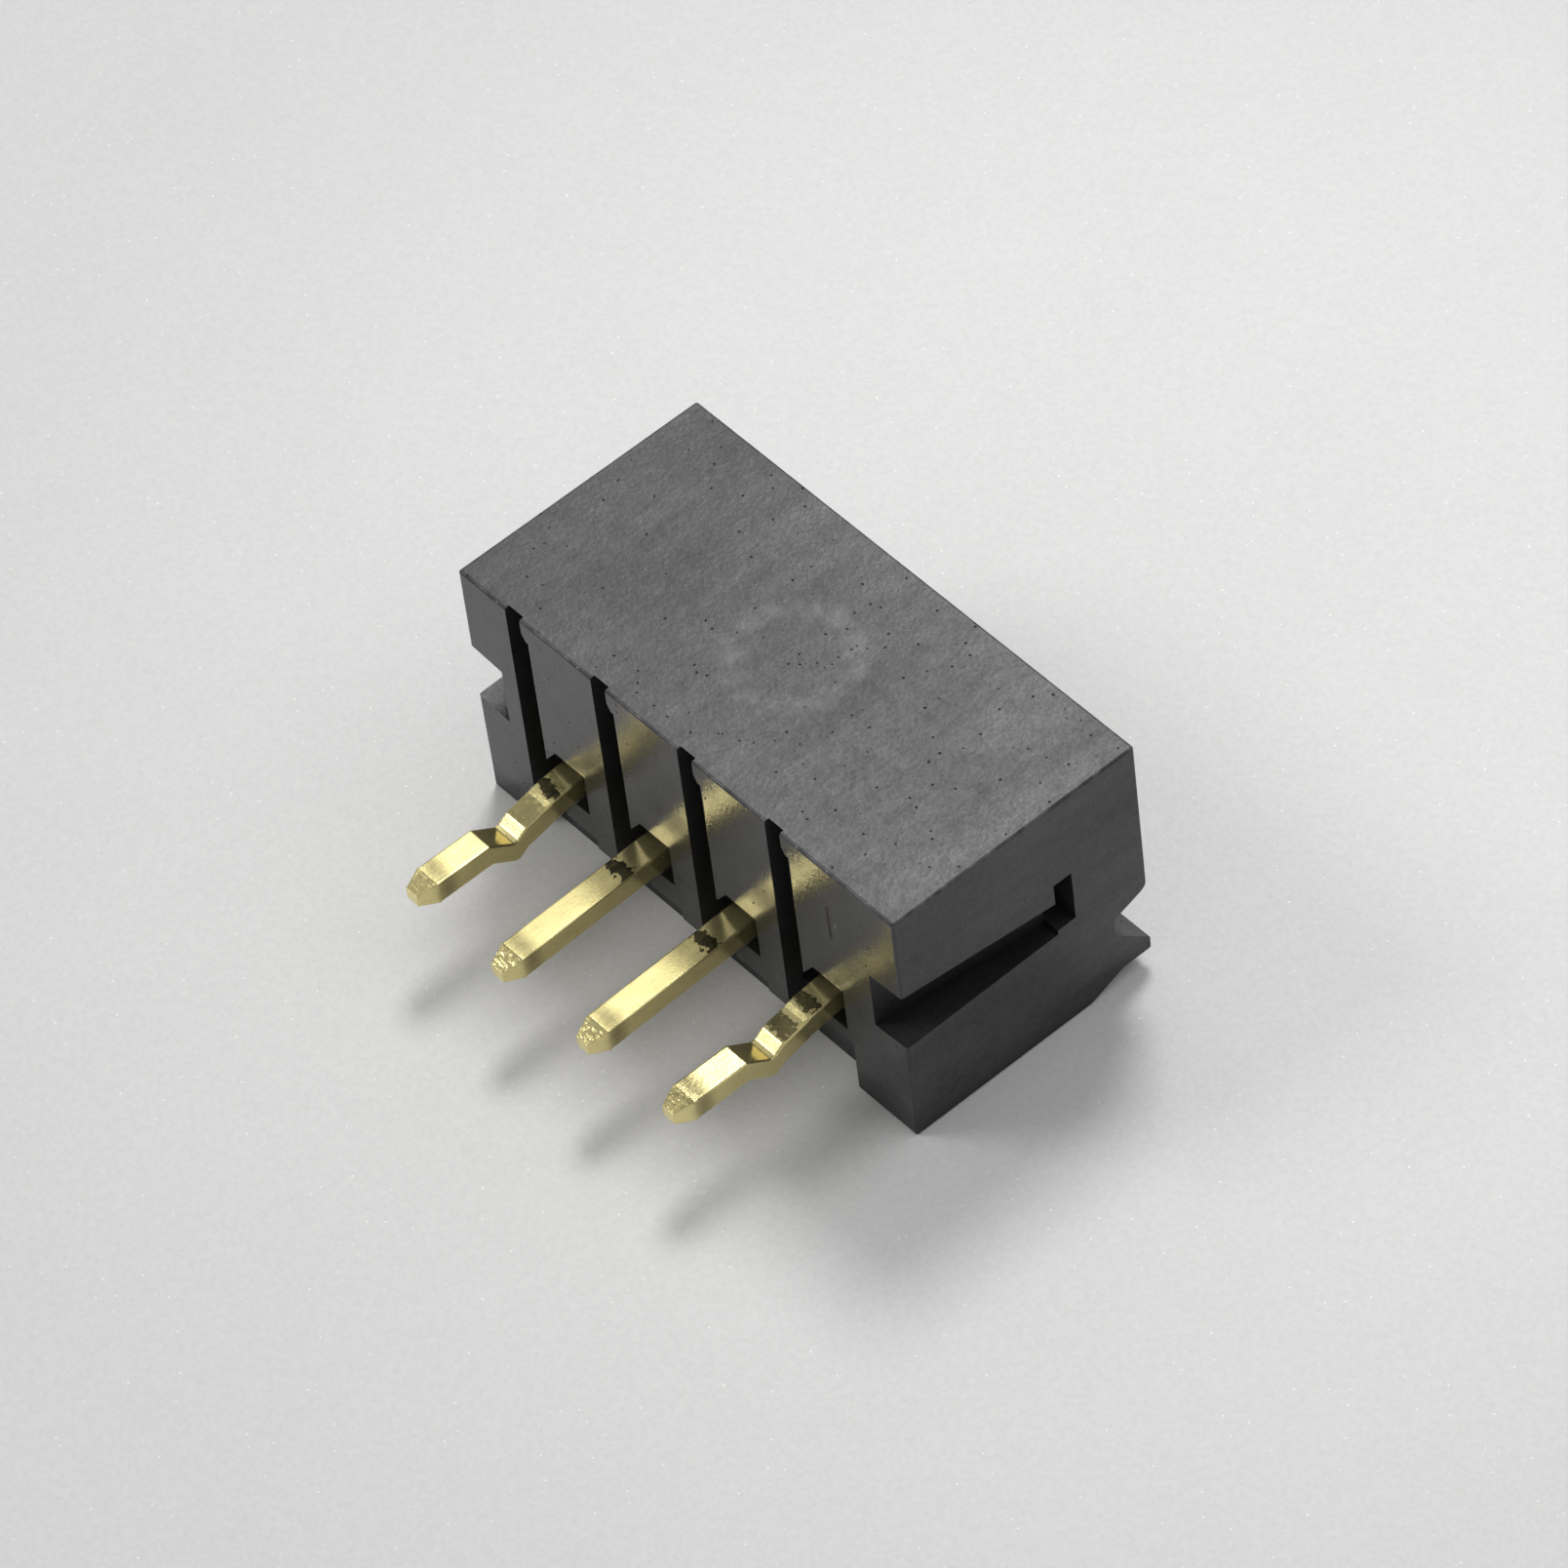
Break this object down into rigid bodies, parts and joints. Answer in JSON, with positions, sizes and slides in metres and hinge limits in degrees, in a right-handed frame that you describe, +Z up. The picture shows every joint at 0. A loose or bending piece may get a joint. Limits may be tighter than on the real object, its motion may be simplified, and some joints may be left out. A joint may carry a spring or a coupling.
{
  "type": "wire-to-board connector",
  "caption": "Shrouded single-row pin header for a circuit board: black rectangular housing, square gilt contacts with long solder tails, outer tails kinked.",
  "frame": {"origin": "middle of the row of contacts, in the plane of the housing's board face", "axes": "+X along the row of contacts, +Y out of the mating opening, +Z up as the part lies on its long wall"},
  "size_m": [0.01, 0.008, 0.005],
  "materials": {
    "black_plastic": "satin moulded, glass-filled",
    "gilt_contact": "thin gold plate, drawn"
  },
  "bodies": {
    "root": {"housing": "black_plastic", "contact_1": "gilt_contact", "contact_2": "gilt_contact", "contact_3": "gilt_contact", "contact_4": "gilt_contact"}
  },
  "joints": []
}
